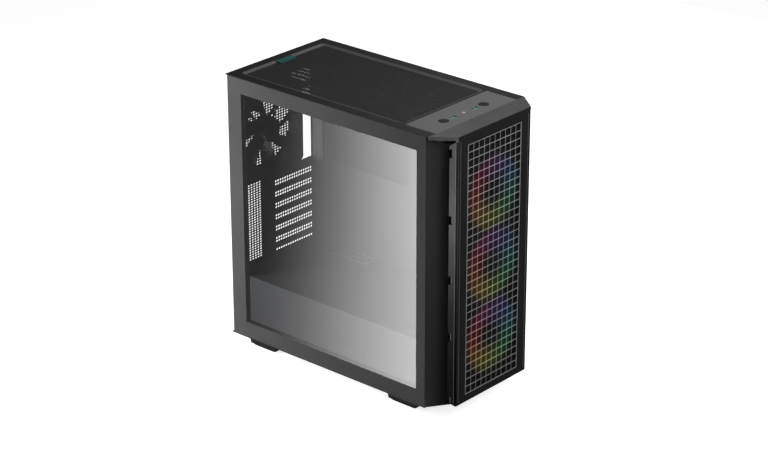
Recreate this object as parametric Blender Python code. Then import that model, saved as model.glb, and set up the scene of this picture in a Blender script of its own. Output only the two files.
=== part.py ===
"""Desktop computer tower: a steel ATX chassis with a windowed side panel, a mesh front and its fans.

+X is the case's right side (away from the window), +Y its rear, +Z up. The origin is on the floor
under the middle of the case. Dimensions are in millimetres here and become metres in each mesh.
"""

import bmesh
import bpy
from math import cos, pi, radians, sin
from mathutils import Vector

for old in list(bpy.data.objects):
    bpy.data.objects.remove(old)

MM = 0.001
GAP = 0.3  # clearance between pieces that rest on each other

# Driving dimensions of the case.
WIDTH = 230.0
HEIGHT = 475.3
FRONT_Y = -231.4  # outer face of the front grille
PANEL_FRONT_Y = -191.7  # front edge of both side panels
PANEL_REAR_Y = 222.2  # rear edge of both side panels
LIP_REAR_Y = 226.4  # rear lips of the bottom and the top
SCREW_REAR_Y = 231.4  # outermost face of the thumbscrews
PANEL_BOTTOM_Z = 23.3
PANEL_TOP_Z = 474.0
SHEET = 1.0  # steel sheet

HALF = WIDTH / 2
INNER = HALF - 4.5  # half width of the steel frame between the side panels
BASE_Z = 23.0  # upper face of the bottom sheet
FRAME_TOP_Z = 467.4  # upper edge of the walls under the top sheet
WALL_Y = 220.9  # outer face of the rear wall

# Motherboard area.
TRAY_X = 78.0  # face of the tray that carries the motherboard
SHROUD_TOP_Z = 132.4
SHROUD_LEFT_X = -109.5
SLOTS, SLOT_PITCH = 7, 20.32
SLOT_TOP_Z = 258.3  # centre of the highest expansion slot
SLOT_LOW_X, SLOT_HIGH_X = -16.0, 76.5
IO_APERTURE = (44.45, 158.75)
IO_BOTTOM_Z = 280.0

# Drive cage under the front of the shroud.
CAGE_FRONT_Y, CAGE_REAR_Y = -152.0, -28.0
CAGE_WALL = 1.2
TRAY_BAYS = ((24.5, 69.5), (70.7, 115.7))  # bottom and top of each bay

# Captive thumbscrews of the side panels.
SCREW_X = 99.0
SCREW_Z = (60.0, 452.0)
SCREW_HOLE = 2.3  # radius

# Fans.
FAN_DEPTH = 25.0
REAR_FAN_SIZE = 140.0
REAR_FAN = (-40.4, 364.8)  # x and z of its axle
FRONT_FAN_SIZE = 120.0
FRONT_FAN_Z = (362.0, 241.5, 121.0)
FRONT_FAN_REAR_Y = -197.0
FAN_SCREWS = {120.0: 105.0, 140.0: 124.5}  # spacing of the screw holes

# Front panel.
FACE_HALF = 85.7
EDGE_HALF, EDGE_Y = 95.7, -221.3  # outer rear edge of its slanted sides
GRILLE_HALF, GRILLE_LOW_Z, GRILLE_HIGH_Z = 64.5, 38.7, 457.0
SHELL_LOW_Z, CAP_Z = 26.8, 470.0  # lower edge of its shell, and the underside of its cap
TRIM_LOW_Z, TRIM_HIGH_Z = 31.3, 466.7
TRIM_X = (77.9, 84.1)
NOTCH_Z = (449.6, 341.5, 242.4, 146.2, 36.2)

# Top.
TOP_FRONT_Y = -195.4  # where the top shell meets the front panel's cap
FILTER_HALF = 97.5
FILTER_FRONT_Y, FILTER_REAR_Y = -132.2, 210.3
IO_ROW_Y = -169.4  # line on which the controls and sockets lie
CONTROL_X, USB_X = 47.6, 26.0
PLATE_LOW_Z, PLATE_TOP_Z = 472.4, 475.0  # cover plate of the controls

# Glass panel: front, rear, bottom and top edge of the pane.
WINDOW = (-173.9, 193.0, 49.6, 448.6)

THROUGH = 4.0  # how far a cutter runs past the sheet that it cuts


def material(name, colour, roughness, metallic=0.0):
    made = bpy.data.materials.new(name)
    made.use_nodes = True
    shader = made.node_tree.nodes["Principled BSDF"]
    shader.inputs["Base Color"].default_value = (*colour, 1)
    shader.inputs["Roughness"].default_value = roughness
    shader.inputs["Metallic"].default_value = metallic
    return made


STEEL = material("black_coated_steel", (0.018, 0.018, 0.02), 0.5, 0.3)
PLASTIC = material("black_plastic", (0.02, 0.02, 0.022), 0.45)
GREY_PLASTIC = material("grey_plastic", (0.13, 0.13, 0.13), 0.5)
GLOSS = material("gloss_black_plastic", (0.01, 0.01, 0.01), 0.08)
GLASS = material("tinted_glass", (0.12, 0.12, 0.13), 0.03)
MESH = material("filter_mesh", (0.03, 0.03, 0.03), 0.8)
RUBBER = material("rubber", (0.015, 0.015, 0.015), 0.9)
TEAL = material("teal_plastic", (0.03, 0.35, 0.3), 0.5)
BLADE = material("fan_blade", (0.02, 0.02, 0.02), 0.4)
BOARD = material("circuit_board", (0.01, 0.06, 0.03), 0.5)
PLATED = material("plated_steel", (0.5, 0.5, 0.5), 0.3, 1.0)


# --- solids -------------------------------------------------------------------------------------

AXES = {"x": (1, 2, 0), "y": (0, 2, 1), "z": (0, 1, 2)}  # plan axes and the axis extruded along


def prism(bm, axis, outline, start, end):
    """Closed prism of a plan outline, extruded along an axis."""
    first, second, along = AXES[axis]
    rings = []
    for height in (start, end):
        ring = []
        for u, v in outline:
            point = [0.0, 0.0, 0.0]
            point[first], point[second], point[along] = u, v, height
            ring.append(bm.verts.new(point))
        rings.append(ring)
    low, high = rings
    faces = [bm.faces.new(low), bm.faces.new(high)]
    for i in range(len(low)):
        j = (i + 1) % len(low)
        faces.append(bm.faces.new((low[i], low[j], high[j], high[i])))
    bmesh.ops.recalc_face_normals(bm, faces=faces)


def box(bm, low, high):
    outline = [(low[0], low[1]), (high[0], low[1]), (high[0], high[1]), (low[0], high[1])]
    prism(bm, "z", outline, low[2], high[2])


def circle(u, v, radius, sides=32, start=0.0, turn=2 * pi):
    """Points on a circle; part of a turn gives an arc that includes both ends."""
    steps = sides if turn >= 2 * pi else sides - 1
    angles = [start + turn * i / steps for i in range(sides)]
    return [(u + radius * cos(a), v + radius * sin(a)) for a in angles]


def rounded(u_low, v_low, u_high, v_high, radius, steps=4):
    """Rectangle with round corners."""
    corners = (
        (u_high - radius, v_low + radius, -pi / 2),
        (u_high - radius, v_high - radius, 0.0),
        (u_low + radius, v_high - radius, pi / 2),
        (u_low + radius, v_low + radius, pi),
    )
    points = []
    for u, v, start in corners:
        points += circle(u, v, radius, steps, start, pi / 2)
    return points


def mirrored(outline):
    """Outline of the same piece on the other side of the case."""
    return [(-x, y) for x, y in reversed(outline)]


def finish(name, bm, surface, origin=(0.0, 0.0, 0.0), smooth=False):
    """Object of the mesh, with its own origin in millimetres."""
    bmesh.ops.translate(bm, vec=-Vector(origin), verts=bm.verts)
    bmesh.ops.scale(bm, vec=(MM, MM, MM), verts=bm.verts)
    mesh = bpy.data.meshes.new(name)
    bm.to_mesh(mesh)
    bm.free()
    mesh.materials.append(surface)
    if smooth:
        mesh.shade_smooth()
        mesh.set_sharp_from_angle(angle=radians(35))
    made = bpy.data.objects.new(name, mesh)
    made.location = Vector(origin) * MM
    bpy.context.collection.objects.link(made)
    return made


def boolean(target, bm, operation="DIFFERENCE"):
    """Cut the shapes in bm from the target, or unite them with it."""
    label = f"{target.name}_{'cut' if operation == 'DIFFERENCE' else 'add'}_{len(target.modifiers)}"
    tool = finish(label, bm, STEEL)
    tool.hide_render = True
    tool.display_type = "WIRE"
    modifier = target.modifiers.new(operation.title(), "BOOLEAN")
    modifier.object = tool
    modifier.operation = operation
    modifier.solver = "EXACT"
    return target


def solid(name, surface, *shapes, origin=(0.0, 0.0, 0.0), smooth=False):
    """One body: the first shape, united with the others."""
    bm = bmesh.new()
    shapes[0](bm)
    made = finish(name, bm, surface, origin, smooth)
    for shape in shapes[1:]:
        extra = bmesh.new()
        shape(extra)
        boolean(made, extra, "UNION")
    return made


def cut(target, *shapes):
    """Remove shapes that don't overlap each other."""
    bm = bmesh.new()
    for shape in shapes:
        shape(bm)
    return boolean(target, bm)


def block(low, high):
    return lambda bm: box(bm, low, high)


def bar(axis, outline, start, end):
    return lambda bm: prism(bm, axis, outline, start, end)


# --- steel chassis ------------------------------------------------------------------------------


def bottom_pan():
    front, rear = PANEL_FRONT_Y, LIP_REAR_Y
    pan = solid(
        "bottom_pan",
        STEEL,
        block((-HALF, front, BASE_Z - SHEET), (HALF, rear, BASE_Z)),
        block((-INNER, front, BASE_Z - 0.5), (-INNER + SHEET, WALL_Y - 2, BASE_Z + 14)),
        block((INNER - SHEET, front, BASE_Z - 0.5), (INNER, WALL_Y - 2, BASE_Z + 14)),
    )
    slots = []
    for i in range(7):
        x = -58.0 + i * 16.0
        slots.append(block((x, 60.0, BASE_Z - 3), (x + 10.0, 196.0, BASE_Z + 3)))
    cut(pan, *slots)


def rear_panel():
    inner = WALL_Y - SHEET
    wall = solid("rear_panel", STEEL, block((-INNER, inner, BASE_Z + GAP), (INNER, WALL_Y, FRAME_TOP_Z)))
    width, height = IO_APERTURE
    io_high_x = TRAY_X - 2.5
    near, far = inner - THROUGH, WALL_Y + THROUGH
    supply_low_x, supply_high_x, supply_low_z, supply_high_z = -88.0, 58.0, 34.0, 116.0
    holes = [
        block((io_high_x - width, near, IO_BOTTOM_Z), (io_high_x, far, IO_BOTTOM_Z + height)),
        block((supply_low_x, near, supply_low_z), (supply_high_x, far, supply_high_z)),
    ]
    for i in range(SLOTS):
        z = SLOT_TOP_Z - i * SLOT_PITCH
        holes.append(block((SLOT_LOW_X, near, z - 6.0), (SLOT_HIGH_X, far, z + 6.0)))
    for x in (-SCREW_X, SCREW_X):
        for z in SCREW_Z:
            holes.append(bar("y", circle(x, z, SCREW_HOLE, 12), near, far))
    cut(wall, *holes)


def motherboard_tray():
    face, back = TRAY_X, TRAY_X + SHEET
    front, rear = -165.0, WALL_Y - SHEET - GAP
    tray = solid(
        "motherboard_tray",
        STEEL,
        block((face, front, BASE_Z + GAP), (back, rear, FRAME_TOP_Z)),
        block((face, front, BASE_Z + GAP), (face + 26.0, front + SHEET, FRAME_TOP_Z)),
    )
    through = (face - THROUGH, back + THROUGH)
    windows = [
        rounded(8.0, 280.0, 162.0, 420.0, 6.0),  # behind the processor
        rounded(-92.0, 170.0, -68.0, 260.0, 6.0),  # cable passages
        rounded(-92.0, 300.0, -68.0, 390.0, 6.0),
        rounded(60.0, 40.0, 200.0, 118.0, 6.0),  # supply cables
        rounded(CAGE_FRONT_Y + 0.4, 24.4, CAGE_REAR_Y - 0.4, 117.0, 2.0),  # drives
    ]
    cut(tray, *(bar("x", outline, *through) for outline in windows))


def psu_shroud():
    left, right = SHROUD_LEFT_X, TRAY_X - GAP
    front, rear = -190.0, WALL_Y - 2 * (SHEET + GAP)
    cover = solid(
        "psu_shroud",
        STEEL,
        block((left, front, BASE_Z + GAP), (left + SHEET, rear, SHROUD_TOP_Z)),
        block((left, front, SHROUD_TOP_Z - SHEET), (right, rear, SHROUD_TOP_Z)),
        block((left, rear - SHEET, SHROUD_TOP_Z - 0.5), (right, rear, SHROUD_TOP_Z + 4.0)),
    )
    # Room for a radiator behind the front fans, and the power cables' way up by the tray.
    radiator = rounded(-90.0, -240.0, 120.0, -122.5, 8.0)
    cables = rounded(50.0, 78.0, 72.0, 146.0, 4.0)
    under, over = SHROUD_TOP_Z - THROUGH, SHROUD_TOP_Z + THROUGH
    cut(cover, bar("z", radiator, under, over), bar("z", cables, under, over))


def front_wall():
    """Sheet behind the front fans, with an air hole and four screw holes for each."""
    face = FRONT_FAN_REAR_Y + GAP
    half = 77.5
    wall = solid(
        "front_wall",
        STEEL,
        block((-half, face, BASE_Z + GAP), (half, face + SHEET, FRAME_TOP_Z)),
    )
    near, far = face - THROUGH, face + SHEET + THROUGH
    offset = FAN_SCREWS[FRONT_FAN_SIZE] / 2
    holes = []
    for z in FRONT_FAN_Z:
        holes.append(bar("y", circle(0.0, z, FRONT_FAN_SIZE / 2 - 4.0, 40), near, far))
        for x in (-offset, offset):
            for dz in (-offset, offset):
                holes.append(bar("y", circle(x, z + dz, 2.4, 8), near, far))
    cut(wall, *holes)


def front_pillars():
    """Folded corners that slant inward in front of the side panels."""
    rear, nose = PANEL_FRONT_Y - GAP, -214.9
    outer = [(-HALF, rear), (-81.0, nose), (-78.2, nose), (-78.2, rear)]
    inner = [(-80.2, rear), (-80.2, nose + 2.3), (-81.0, nose + 2.3), (-111.4, rear)]
    outline = outer + inner
    front, back, over = nose - THROUGH, rear + THROUGH, HEIGHT + THROUGH
    top = [(front, over), (front, 457.4), (back, 470.7), (back, over)]
    for name, plan in (("left", outline), ("right", mirrored(outline))):
        pillar = solid(f"front_pillar_{name}", STEEL, bar("z", plan, PANEL_BOTTOM_Z, PANEL_TOP_Z))
        cut(pillar, bar("x", top, -HALF - THROUGH, HALF + THROUGH))


def top_panel():
    """Sheet under the top filter, with two long rails for fan screws."""
    front, rear = IO_ROW_Y + 18.0, WALL_Y - SHEET - 1.0
    low = FRAME_TOP_Z + GAP
    high = low + SHEET
    sheet = solid("top_panel", STEEL, block((-INNER, front, low), (INNER, rear, high)))
    rails = []
    for x in (-60.0, 54.0):
        outline = rounded(x, -118.0, x + 6.0, 190.0, 2.9)
        rails.append(bar("z", outline, low - THROUGH, high + THROUGH))
    cut(sheet, *rails)


def top_frame():
    """Shell round the top filter, with a lip over the side panels."""
    inner, skirt_low = INNER - GAP, 469.0
    frame = solid(
        "top_frame",
        PLASTIC,
        block((-HALF, TOP_FRONT_Y, PANEL_TOP_Z + GAP), (HALF, LIP_REAR_Y, HEIGHT)),
        block((-inner, TOP_FRONT_Y, skirt_low), (inner, LIP_REAR_Y - 6.2, PANEL_TOP_Z + 0.6)),
    )
    under, over = skirt_low - THROUGH, HEIGHT + THROUGH
    seat = rounded(-FILTER_HALF, FILTER_FRONT_Y, FILTER_HALF, FILTER_REAR_Y, 9.0, 5)
    controls_low = (-FILTER_HALF, TOP_FRONT_Y - THROUGH, under)
    controls_high = (FILTER_HALF, FILTER_FRONT_Y - 3.0, over)
    cut(frame, bar("z", seat, under, over), block(controls_low, controls_high))


def feet():
    """Moulded feet with slanted ends, each on a rubber pad."""
    foot_top, foot_low, pad_top, end = BASE_Z - SHEET - GAP, 2.5, 2.2, 5.0
    for name, y_low, y_high in (("front", -163.5, -96.0), ("rear", 141.0, 207.0)):
        for side, sign in (("left", -1), ("right", 1)):
            x_low, x_high = sorted((sign * 97.2, sign * 69.0))
            outline = [
                (y_low + end, foot_low),
                (y_high - end, foot_low),
                (y_high, foot_top),
                (y_low, foot_top),
            ]
            foot = solid(f"foot_{name}_{side}", PLASTIC, bar("x", outline, x_low, x_high))
            bevel = foot.modifiers.new("Bevel", "BEVEL")
            bevel.width = 1.0 * MM
            bevel.segments = 1
            pad = rounded(x_low + 3, y_low + 9, x_high - 3, y_high - 9, 3.0, 3)
            solid(f"foot_pad_{name}_{side}", RUBBER, bar("z", pad, 0.0, pad_top))


def slot_covers():
    """Seven covers behind the expansion slots, each screwed to the tray side."""
    rear = WALL_Y - SHEET - GAP
    half = 8.6
    for i in range(SLOTS):
        z = SLOT_TOP_Z - i * SLOT_PITCH
        low, high = (SLOT_LOW_X - 4.0, rear - SHEET, z - half), (TRAY_X - 0.4, rear, z + half)
        solid(f"slot_cover_{i + 1}", STEEL, block(low, high))


def drive_cage():
    """Open-sided cage for two trays under the shroud's front."""
    low = (-64.0, CAGE_FRONT_Y, BASE_Z + GAP)
    high = (TRAY_X - 0.5, CAGE_REAR_Y, 116.9)
    cage = solid("drive_cage", STEEL, block(low, high))
    near, far = low[0] - THROUGH, high[0] + THROUGH
    front, rear = CAGE_FRONT_Y + CAGE_WALL, CAGE_REAR_Y - CAGE_WALL
    cut(cage, *(block((near, front, bottom), (far, rear, top)) for bottom, top in TRAY_BAYS))


def drive_trays():
    """Open trays that slide out through the motherboard tray's window, each with a handle end."""
    inside, handle = -60.0, TRAY_X + 18.0
    y_low, y_high = CAGE_FRONT_Y + CAGE_WALL + 0.4, CAGE_REAR_Y - CAGE_WALL - 0.4
    for i, (z_low, z_high) in enumerate(TRAY_BAYS):
        floor = z_low + 1.0
        tray = solid(
            f"drive_tray_{i + 1}",
            PLASTIC,
            block((inside, y_low, floor), (handle, y_high, z_high - 14.0)),
            origin=(handle, (y_low + y_high) / 2, floor),
        )
        cut(tray, block((inside + 3, y_low + 4, floor + 2.4), (handle - 4, y_high - 4, z_high)))


# --- controls -----------------------------------------------------------------------------------


def controls():
    """Cover plate with two buttons, two USB sockets and a jack, on one board under the top."""
    row = IO_ROW_Y
    edge = FILTER_HALF - GAP
    front, rear = TOP_FRONT_Y, FILTER_FRONT_Y - 3.3
    plate = solid(
        "io_cover",
        GREY_PLASTIC,
        block((-edge, front, PLATE_LOW_Z), (edge, rear, PLATE_TOP_Z)),
    )
    under, over = PLATE_LOW_Z - THROUGH, PLATE_TOP_Z + THROUGH
    button_radius, jack_radius = 8.2, 3.3
    usb_half_x, usb_half_y, usb_wall = 7.1, 3.6, 0.6
    openings = [bar("z", circle(0.0, row, jack_radius + GAP, 20), under, over)]
    for x in (-CONTROL_X, CONTROL_X):
        openings.append(bar("z", circle(x, row, button_radius + 0.4, 28), under, over))
    for x in (-USB_X, USB_X):
        reach_x, reach_y = usb_half_x + GAP, usb_half_y + GAP
        openings.append(block((x - reach_x, row - reach_y, under), (x + reach_x, row + reach_y, over)))
    cut(plate, *openings)

    board_low, board_top, socket_low, socket_floor = 450.0, 451.6, 452.0, 460.0
    solid("io_board", BOARD, block((-62.0, row - 14, board_low), (62.0, row + 14, board_top)))
    for name, x in (("left", -USB_X), ("right", USB_X)):
        shell = solid(
            f"usb_port_{name}",
            PLATED,
            block((x - usb_half_x, row - usb_half_y, socket_low), (x + usb_half_x, row + usb_half_y, 474.6)),
        )
        bore_x, bore_y = usb_half_x - usb_wall, usb_half_y - usb_wall
        cut(shell, block((x - bore_x, row - bore_y, socket_floor), (x + bore_x, row + bore_y, over)))
    jack = solid(
        "audio_jack", PLASTIC, bar("z", circle(0.0, row, jack_radius, 20), socket_low, 474.8), smooth=True
    )
    cut(jack, bar("z", circle(0.0, row, 1.8, 16), socket_floor, over))
    stem_low, head_low = 455.0, 469.4
    for name, x in (("power_button", -CONTROL_X), ("reset_button", CONTROL_X)):
        button = solid(
            name,
            PLASTIC,
            bar("z", circle(x, row, button_radius, 28), head_low, HEIGHT),
            bar("z", circle(x, row, 2.4, 12), stem_low, head_low + 0.4),
            origin=(x, row, stem_low),
            smooth=True,
        )
        bevel = button.modifiers.new("Bevel", "BEVEL")
        bevel.width = 0.5 * MM
        bevel.segments = 1
        bevel.limit_method = "ANGLE"


# --- top filter and supply filter ---------------------------------------------------------------


def top_filter():
    """Magnetic rim with its mesh, and a coloured pull tab at the rear."""
    x, front, rear = FILTER_HALF - GAP, FILTER_FRONT_Y + GAP, FILTER_REAR_Y - GAP
    low, high, rim_width = 469.2, HEIGHT - 0.1, 6.0
    under, over = low - THROUGH, high + THROUGH
    outer = rounded(-x, front, x, rear, 8.7, 5)
    inner = rounded(-x + rim_width, front + rim_width, x - rim_width, rear - rim_width, 4.0, 4)
    rim = solid("top_filter_frame", PLASTIC, bar("z", outer, low, high))
    tab_half, tab_depth, seat_z = 18.3, 14.3, 473.0
    seat_half = tab_half + GAP
    cut(rim, bar("z", inner, under, over))
    cut(rim, block((-seat_half, rear - tab_depth - GAP, seat_z), (seat_half, rear + THROUGH, over)))
    inset = rim_width + GAP
    field = rounded(-x + inset, front + inset, x - inset, rear - inset, 3.7, 4)
    solid("top_filter_mesh", MESH, bar("z", field, seat_z - 0.6, seat_z))
    tab = rounded(-tab_half, rear - tab_depth, tab_half, rear - GAP, 2.5, 3)
    solid("top_filter_tab", TEAL, bar("z", tab, seat_z + GAP, seat_z + 2.0))


def psu_filter():
    """Tray under the power supply's air slots, with a finger pull at the rear."""
    high, low, rim_width = BASE_Z - SHEET - GAP, 18.6, 6.0
    half, front, rear = 64.0, 52.0, 218.0
    rim = solid(
        "psu_filter",
        PLASTIC,
        block((-half, front, low), (half, rear, high)),
        block((-20.0, rear - 2.0, low - 2.2), (20.0, rear + 3.0, high)),
        origin=(0.0, rear + 3.0, low),
    )
    inside = half - rim_width
    cut(rim, block((-inside, front + rim_width, low + 1.0), (inside, rear - 12.0, high + THROUGH)))


# --- fans ---------------------------------------------------------------------------------------


def fan(name, x, y_rear, z, size, blades):
    """Axial fan: a frame with its motor mount at the rear, and a rotor that faces the front."""
    half, bore = size / 2 - 0.2, size / 2 - 3.0
    y_front = y_rear - FAN_DEPTH
    square = rounded(x - half, z - half, x + half, z + half, 6.0, 3)
    frame = solid(f"{name}_frame", PLASTIC, bar("y", square, y_front, y_rear), smooth=True)
    near, far = y_front - THROUGH, y_rear + THROUGH
    holes = [bar("y", circle(x, z, bore, 48), near, far)]
    offset = FAN_SCREWS[size] / 2
    for dx in (-offset, offset):
        for dz in (-offset, offset):
            holes.append(bar("y", circle(x + dx, z + dz, 2.2, 8), near, far))
    cut(frame, *holes)
    mount = bmesh.new()
    prism(mount, "y", circle(x, z, 22.0, 28), y_rear - 3.0, y_rear)
    boolean(frame, mount, "UNION")
    struts = bmesh.new()
    for i in range(4):
        turn = pi / 4 + i * pi / 2
        along, across = Vector((cos(turn), sin(turn))), Vector((-sin(turn), cos(turn)))
        centre = Vector((x, z))
        ends = (centre + along * 20.0, centre + along * (bore + 2.0))
        outline = [
            ends[0] - across * 2.0,
            ends[1] - across * 2.0,
            ends[1] + across * 2.0,
            ends[0] + across * 2.0,
        ]
        prism(struts, "y", outline, y_rear - 2.8, y_rear - 0.2)
    boolean(frame, struts, "UNION")

    y_hub = (y_rear - 22.5, y_rear - 3.5)
    origin = (x, (y_front + y_rear) / 2, z)
    rotor = solid(
        f"{name}_rotor", BLADE, bar("y", circle(x, z, 20.0, 32), *y_hub), origin=origin, smooth=True
    )
    vanes = bmesh.new()
    y_middle = sum(y_hub) / 2
    for i in range(blades):
        blade(vanes, x, y_middle, z, bore - 2.0, i * 2 * pi / blades)
    boolean(rotor, vanes, "UNION")


def blade(bm, x, y, z, tip, turn):
    """One twisted blade: three stations from hub to tip, each a thin slanted section."""
    stations = []
    for share in (0.0, 0.5, 1.0):
        radius = 18.5 + (tip - 18.5) * share
        sweep = turn + 0.28 * share
        chord = 0.42 - 0.04 * share  # half the angle that the blade covers
        rise = 7.0 - 1.5 * share
        ring = []
        for across, side in ((-1, -1), (0, -1), (1, -1), (1, 1), (0, 1), (-1, 1)):
            angle = sweep + across * chord
            bow = 1.2 if across == 0 else 0.0
            ring.append(
                bm.verts.new(
                    (
                        x + radius * cos(angle),
                        y + across * rise + bow + side * 0.6,
                        z + radius * sin(angle),
                    )
                )
            )
        stations.append(ring)
    faces = [bm.faces.new(stations[0]), bm.faces.new(stations[-1])]
    for low, high in zip(stations, stations[1:]):
        for i in range(6):
            j = (i + 1) % 6
            faces.append(bm.faces.new((low[i], low[j], high[j], high[i])))
    bmesh.ops.recalc_face_normals(bm, faces=faces)


def fans():
    fan("rear_fan", REAR_FAN[0], WALL_Y - SHEET - GAP, REAR_FAN[1], REAR_FAN_SIZE, 7)
    for i, z in enumerate(FRONT_FAN_Z):
        fan(f"front_fan_{i + 1}", 0.0, FRONT_FAN_REAR_Y, z, FRONT_FAN_SIZE, 9)
    hub_x = TRAY_X + SHEET + GAP
    solid("fan_hub", PLASTIC, block((hub_x, -54.0, 222.0), (hub_x + 12.7, 6.0, 272.0)))


# --- panels -------------------------------------------------------------------------------------


def side_flange(sign):
    """Fold behind the rear wall that takes the thumbscrews."""
    x_low, x_high = sorted((sign * (HALF - 0.5), sign * 91.5))
    return block((x_low, WALL_Y + GAP, PANEL_BOTTOM_Z), (x_high, PANEL_REAR_Y, PANEL_TOP_Z))


def screw_holes(sign):
    near, far = WALL_Y - THROUGH, PANEL_REAR_Y + THROUGH
    return [bar("y", circle(sign * SCREW_X, z, SCREW_HOLE, 12), near, far) for z in SCREW_Z]


def glass_panel():
    front, rear, bottom, top = WINDOW
    frame = solid(
        "glass_panel_frame",
        STEEL,
        block((-HALF, PANEL_FRONT_Y, PANEL_BOTTOM_Z), (-HALF + 4, PANEL_REAR_Y, PANEL_TOP_Z)),
        side_flange(-1),
    )
    opening = rounded(front, bottom, rear, top, 1.5, 3)
    cut(frame, bar("x", opening, -HALF - THROUGH, -HALF + 2 * THROUGH))
    cut(frame, *screw_holes(-1))
    pane = rounded(front + GAP, bottom + GAP, rear - GAP, top - GAP, 1.3, 3)
    solid("glass_pane", GLASS, bar("x", pane, -HALF + 0.2, -HALF + 4))


def right_side_panel():
    panel = solid(
        "right_side_panel",
        STEEL,
        block((HALF - 4, PANEL_FRONT_Y, PANEL_BOTTOM_Z), (HALF, PANEL_REAR_Y, PANEL_TOP_Z)),
        side_flange(1),
    )
    rim_width = 8.0
    low = (HALF - 4 - THROUGH, PANEL_FRONT_Y + rim_width, PANEL_BOTTOM_Z + rim_width)
    high = (HALF - SHEET, PANEL_REAR_Y - rim_width, PANEL_TOP_Z - rim_width)
    cut(panel, block(low, high))
    cut(panel, *screw_holes(1))


def thumbscrews():
    for side, sign in (("left", -1), ("right", 1)):
        for level, z in zip(("bottom", "top"), SCREW_Z):
            x = sign * SCREW_X
            solid(
                f"thumbscrew_{side}_{level}",
                STEEL,
                bar("y", circle(x, z, 5.5, 24), PANEL_REAR_Y + GAP, SCREW_REAR_Y),
                bar("y", circle(x, z, 1.8, 12), WALL_Y - 7, PANEL_REAR_Y + 1),
                origin=(x, PANEL_REAR_Y, z),
                smooth=True,
            )


def front_panel():
    """Pull-off front: a bent shell with a cap that forms the top's front edge."""
    outside = [(FACE_HALF, FRONT_Y), (87.4, -229.8), (EDGE_HALF, EDGE_Y)]
    inside = [(92.4, EDGE_Y), (84.6, -228.9)]
    shell = outside + inside
    shell += mirrored(shell)
    cap_half = FACE_HALF + 0.6
    cap = [(-HALF, -195.8), (-cap_half, FRONT_Y), (cap_half, FRONT_Y), (HALF, -195.8)]
    base = [(77.6, -200.2), (77.6, -216.0), (84.0, -229.5)]
    base += mirrored(base)
    frame = solid(
        "front_panel_frame",
        PLASTIC,
        bar("z", shell, SHELL_LOW_Z, CAP_Z + 1),
        bar("z", cap, CAP_Z, HEIGHT),
        bar("z", base, SHELL_LOW_Z, SHELL_LOW_Z + 2.5),
    )
    slope_y = EDGE_Y + 0.5
    top_slope = [(FRONT_Y, CAP_Z), (slope_y, CAP_Z - 8.5), (slope_y, CAP_Z)]
    low_slope = [(FRONT_Y, SHELL_LOW_Z - 0.8), (slope_y, SHELL_LOW_Z + 8.1), (slope_y, SHELL_LOW_Z - 0.8)]
    slopes = []
    for x_low, x_high in ((-100.0, -87.0), (87.0, 100.0)):
        slopes += [bar("x", top_slope, x_low, x_high), bar("x", low_slope, x_low, x_high)]
    cut(frame, *slopes)
    opening = block(
        (-GRILLE_HALF, FRONT_Y - 5, GRILLE_LOW_Z), (GRILLE_HALF, FRONT_Y + 5, GRILLE_HIGH_Z)
    )
    cut(frame, opening)
    seats, notches = [], []
    for sign in (-1, 1):
        x_low, x_high = sorted((sign * (TRIM_X[0] - GAP), sign * (TRIM_X[1] + GAP)))
        seat_low, seat_high = TRIM_LOW_Z - GAP, TRIM_HIGH_Z + GAP
        seats.append(block((x_low, FRONT_Y - 3, seat_low), (x_high, FRONT_Y + 1.5, seat_high)))
        x_low, x_high = sorted((sign * 91.0, sign * 99.0))
        for z in NOTCH_Z:
            notches.append(block((x_low, EDGE_Y - 3.5, z - 7), (x_high, EDGE_Y + 3, z + 7)))
    cut(frame, *seats)
    cut(frame, *notches)
    for name, sign in (("left", -1), ("right", 1)):
        x_low, x_high = sorted((sign * TRIM_X[0], sign * TRIM_X[1]))
        solid(
            f"front_trim_{name}",
            GLOSS,
            block((x_low, FRONT_Y + 0.1, TRIM_LOW_Z), (x_high, FRONT_Y + 1.2, TRIM_HIGH_Z)),
        )
    edge, low, high = GRILLE_HALF - GAP, GRILLE_LOW_Z + GAP, GRILLE_HIGH_Z - GAP
    solid("front_grille", STEEL, block((-edge, FRONT_Y + 0.2, low), (edge, FRONT_Y + 1.7, high)))
    solid(
        "front_filter",
        MESH,
        block((-72.0, FRONT_Y + 2.8, 34.0), (72.0, FRONT_Y + 4.0, 462.0)),
    )


bottom_pan()
rear_panel()
motherboard_tray()
psu_shroud()
front_wall()
front_pillars()
top_panel()
top_frame()
feet()
slot_covers()
drive_cage()
drive_trays()
controls()
top_filter()
psu_filter()
fans()
glass_panel()
right_side_panel()
thumbscrews()
front_panel()
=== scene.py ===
"""Desktop computer tower: looks. Lengths are in millimetres here and become metres in each mesh."""

import bmesh
import bpy
from math import cos, pi, radians, sin
from mathutils import Matrix, Vector


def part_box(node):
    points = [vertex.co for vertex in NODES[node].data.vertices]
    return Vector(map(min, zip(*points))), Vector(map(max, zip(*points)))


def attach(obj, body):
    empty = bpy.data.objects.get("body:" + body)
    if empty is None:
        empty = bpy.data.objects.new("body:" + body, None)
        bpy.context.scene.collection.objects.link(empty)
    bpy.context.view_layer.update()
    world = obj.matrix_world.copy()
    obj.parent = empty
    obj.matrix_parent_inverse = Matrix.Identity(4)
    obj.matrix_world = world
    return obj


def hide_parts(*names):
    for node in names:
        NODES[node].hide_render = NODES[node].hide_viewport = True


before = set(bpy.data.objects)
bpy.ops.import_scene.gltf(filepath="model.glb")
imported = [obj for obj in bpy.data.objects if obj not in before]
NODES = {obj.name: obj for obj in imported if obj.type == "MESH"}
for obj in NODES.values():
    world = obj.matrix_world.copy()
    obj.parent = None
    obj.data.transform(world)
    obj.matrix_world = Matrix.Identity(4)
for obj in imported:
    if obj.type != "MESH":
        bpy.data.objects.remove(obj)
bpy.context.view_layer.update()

MM = 0.001
scene = bpy.context.scene


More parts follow.
